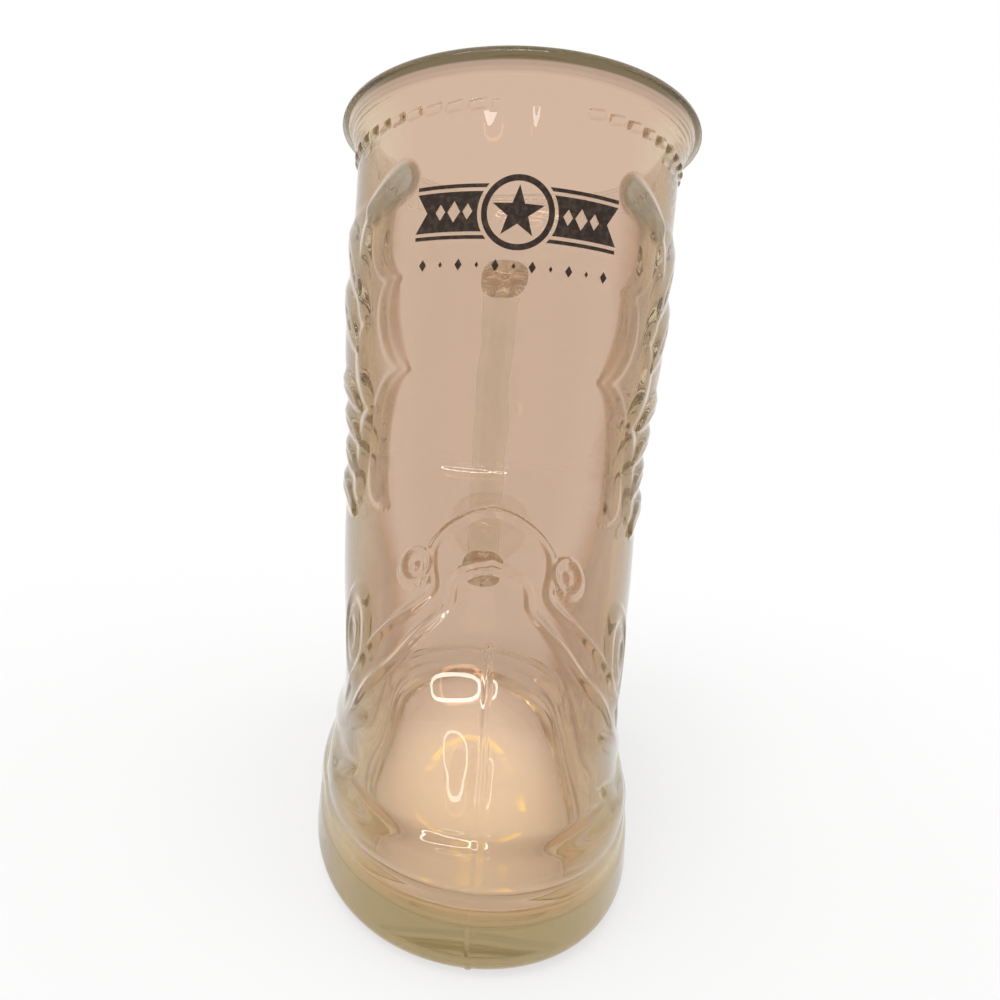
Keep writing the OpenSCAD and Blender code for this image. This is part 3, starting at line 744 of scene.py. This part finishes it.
# Colour of the floor: a broken ring of golden light painted on to it under the foot, a painted caustic
def paintedGoldenRing(nodes, links):
    ramp = nodes.new("ShaderNodeValToRGB")
    start, full = ramp.color_ramp.elements
    end = ramp.color_ramp.elements.new(1)
    start.position, full.position, end.position = stage["ringFrom"], stage["ringFull"], 1
    start.color = end.color = (1, 1, 1, 1)
    full.color = (*stage["gold"], 1)
    links.new(farFrom(nodes, links, stage["ringAt"], stage["ringHalf"]), ramp.inputs["Fac"])
    place = nodes.new("ShaderNodeTexCoord")
    broken = nodes.new("ShaderNodeTexNoise")
    broken.inputs["Scale"].default_value = stage["goldSize"]
    parts = nodes.new("ShaderNodeMapRange")
    parts.inputs["From Min"].default_value = stage["goldFrom"]
    parts.inputs["From Max"].default_value = stage["goldTo"]
    links.new(place.outputs["Object"], broken.inputs["Vector"])
    links.new(broken.outputs["Fac"], parts.inputs["Value"])
    return colourMix(nodes, links, parts.outputs["Result"], (1, 1, 1), ramp.outputs["Color"])


# Strength of the floor: a painted pool of light under the foot, which fades before its outline
def paintedPoolOfLight(nodes, links):
    glow = nodes.new("ShaderNodeMapRange")
    glow.interpolation_type = "SMOOTHSTEP"
    glow.inputs["From Min"].default_value = stage["poolFull"]
    glow.inputs["To Min"].default_value = 1 + stage["poolGlow"]
    glow.inputs["To Max"].default_value = 1
    links.new(farFrom(nodes, links, stage["poolAt"], stage["poolHalf"]), glow.inputs["Value"])
    return glow.outputs["Result"]


def makeFloor():
    half = stage["floorHalf"]
    corners = np.array([(-half, -half, 0), (half, -half, 0), (half, half, 0), (-half, half, 0)])
    material, nodes, links, shader = newMaterial("pale_floor")
    shader.inputs["Base Color"].default_value = (*stage["floorColour"], 1)
    shader.inputs["Roughness"].default_value = stage["floorRough"]
    pale = nodes.new("ShaderNodeEmission")                  # keeps the floor pale, also through glass
    # The floor's glow carries the painted pool of light and the painted golden ring
    links.new(paintedPoolOfLight(nodes, links), pale.inputs["Strength"])
    links.new(paintedGoldenRing(nodes, links), pale.inputs["Color"])
    share = nodes.new("ShaderNodeMath")
    share.operation = "MULTIPLY"
    share.inputs[1].default_value = stage["floorPale"]
    choose = nodes.new("ShaderNodeMixShader")
    links.new(seenDirectly(nodes, links), share.inputs[0])
    links.new(share.outputs[0], choose.inputs["Fac"])
    links.new(shader.outputs["BSDF"], choose.inputs[1])
    links.new(pale.outputs["Emission"], choose.inputs[2])
    links.new(choose.outputs["Shader"], nodes["Material Output"].inputs["Surface"])
    floor = meshObject("floor", corners, [[0, 1, 2, 3]], material)
    floor.location.z = -stage["floorDrop"]


def makeSurround():
    world = bpy.data.worlds.new("surround")
    scene.world = world
    world.use_nodes = True
    nodes, links = world.node_tree.nodes, world.node_tree.links
    seen = nodes["Background"]
    light = nodes.new("ShaderNodeBackground")
    light.inputs["Strength"].default_value = stage["fill"]
    place = nodes.new("ShaderNodeTexCoord")
    split = nodes.new("ShaderNodeSeparateXYZ")
    ramp = nodes.new("ShaderNodeValToRGB")
    ramp.color_ramp.interpolation = "EASE"
    low, high = ramp.color_ramp.elements
    low.position, high.position = stage["ceilingFrom"], stage["ceilingTo"]
    low.color, high.color = (*stage["surround"], 1), (*stage["ceiling"], 1)
    choose = nodes.new("ShaderNodeMixShader")
    links.new(place.outputs["Generated"], split.inputs["Vector"])
    links.new(split.outputs["Z"], ramp.inputs["Fac"])
    links.new(ramp.outputs["Color"], seen.inputs["Color"])
    links.new(seenDirectly(nodes, links), choose.inputs["Fac"])
    links.new(light.outputs["Background"], choose.inputs[1])
    links.new(seen.outputs["Background"], choose.inputs[2])
    links.new(choose.outputs["Shader"], nodes["World Output"].inputs["Surface"])


def aimAt(place, target):
    look = np.array(target, float) - np.array(place, float)
    look /= np.linalg.norm(look)
    right = np.cross(look, (0, 0, 1))
    right /= np.linalg.norm(right)
    return placed(place, right, np.cross(right, look), look)


def placed(place, right, rise, look):
    matrix = Matrix.Identity(4)
    for row in range(3):
        matrix[row][0], matrix[row][1], matrix[row][2] = right[row], rise[row], -look[row]
        matrix[row][3] = place[row]
    return matrix


def makeLamps():
    data = bpy.data.lights.new("soft_lamp", "SUN")
    data.angle = math.radians(stage["lampSpread"])
    data.energy = stage["lampPower"]
    lamp = bpy.data.objects.new("soft_lamp", data)
    scene.collection.objects.link(lamp)
    lamp.matrix_world = aimAt(stage["lampAt"], stage["lampAim"])
    lamp.visible_glossy = False
    lamp.visible_transmission = False
    count = stage["glintPoints"]
    angle = np.linspace(0, 2 * np.pi, count, endpoint=False)
    faces = [[i, (i + 1) % count, count + (i + 1) % count, count + i] for i in range(count)]
    for glint in glints:
        square = glint["square"]
        oval = np.stack([squared(np.cos(angle), square), squared(np.sin(angle), square), 0 * angle], axis=-1)
        outer = np.array([glint["wide"], glint["tall"], 0])
        inner = outer - np.array([glint["band"], glint["band"], 0])
        material, nodes, links, shader = newMaterial(glint["name"] + "_glow")
        shader.inputs["Base Color"].default_value = (0, 0, 0, 1)
        shader.inputs["Emission Color"].default_value = (*stage["glintColour"], 1)
        shader.inputs["Emission Strength"].default_value = glint["glow"]
        ring = meshObject(glint["name"], np.concatenate([oval * inner, oval * outer]), faces, material)
        way = np.array(glint["way"])
        look = -way / np.linalg.norm(way)
        right = np.array(glint["along"]) - look * np.dot(glint["along"], look)
        right /= np.linalg.norm(right)
        ring.matrix_world = placed(way + np.array(stage["glintsFrom"]), right, np.cross(right, look), look)
        ring.visible_camera = False
        ring.visible_diffuse = False
        ring.visible_shadow = False


scene.cycles.max_bounces = stage["bounces"]
scene.cycles.transmission_bounces = stage["bounces"]
scene.cycles.glossy_bounces = stage["bounces"]
makeFloor()
makeSurround()
makeLamps()
print("stage set")

# Camera: close to the toe, at half the mug's height, tipped a little to one side
lens = {"away": 189.06, "up": 76.67, "aside": -12.77, "tip": 4.27, "lean": 4.38, "yaw": -2.31,
        "focal": 25.75, "film": 36.0, "shift": 0.0592, "near": 0.005}


def makeCamera():
    tip, lean, yaw = (math.radians(lens[name]) for name in ("tip", "lean", "yaw"))
    toObject = np.array([[math.cos(yaw), math.sin(yaw), 0], [-math.sin(yaw), math.cos(yaw), 0], [0, 0, 1]])
    right = np.array([1.0, 0, 0])
    look = np.array([0, math.cos(tip), -math.sin(tip)])
    rise = np.array([0, math.sin(tip), math.cos(tip)])
    cos, sin = math.cos(lean), math.sin(lean)
    right, rise = cos * right + sin * rise, cos * rise - sin * right
    place = toObject @ np.array([lens["aside"], -lens["away"], lens["up"]]) + np.array([0, axisBack, 0])
    data = bpy.data.cameras.new("camera")
    data.lens = lens["focal"]
    data.sensor_width = lens["film"]
    data.shift_x = lens["shift"]
    data.clip_start = lens["near"]
    camera = bpy.data.objects.new("camera", data)
    scene.collection.objects.link(camera)
    camera.matrix_world = placed(place * mm, toObject @ right, toObject @ rise, toObject @ look)
    scene.camera = camera


makeCamera()
print("camera placed")
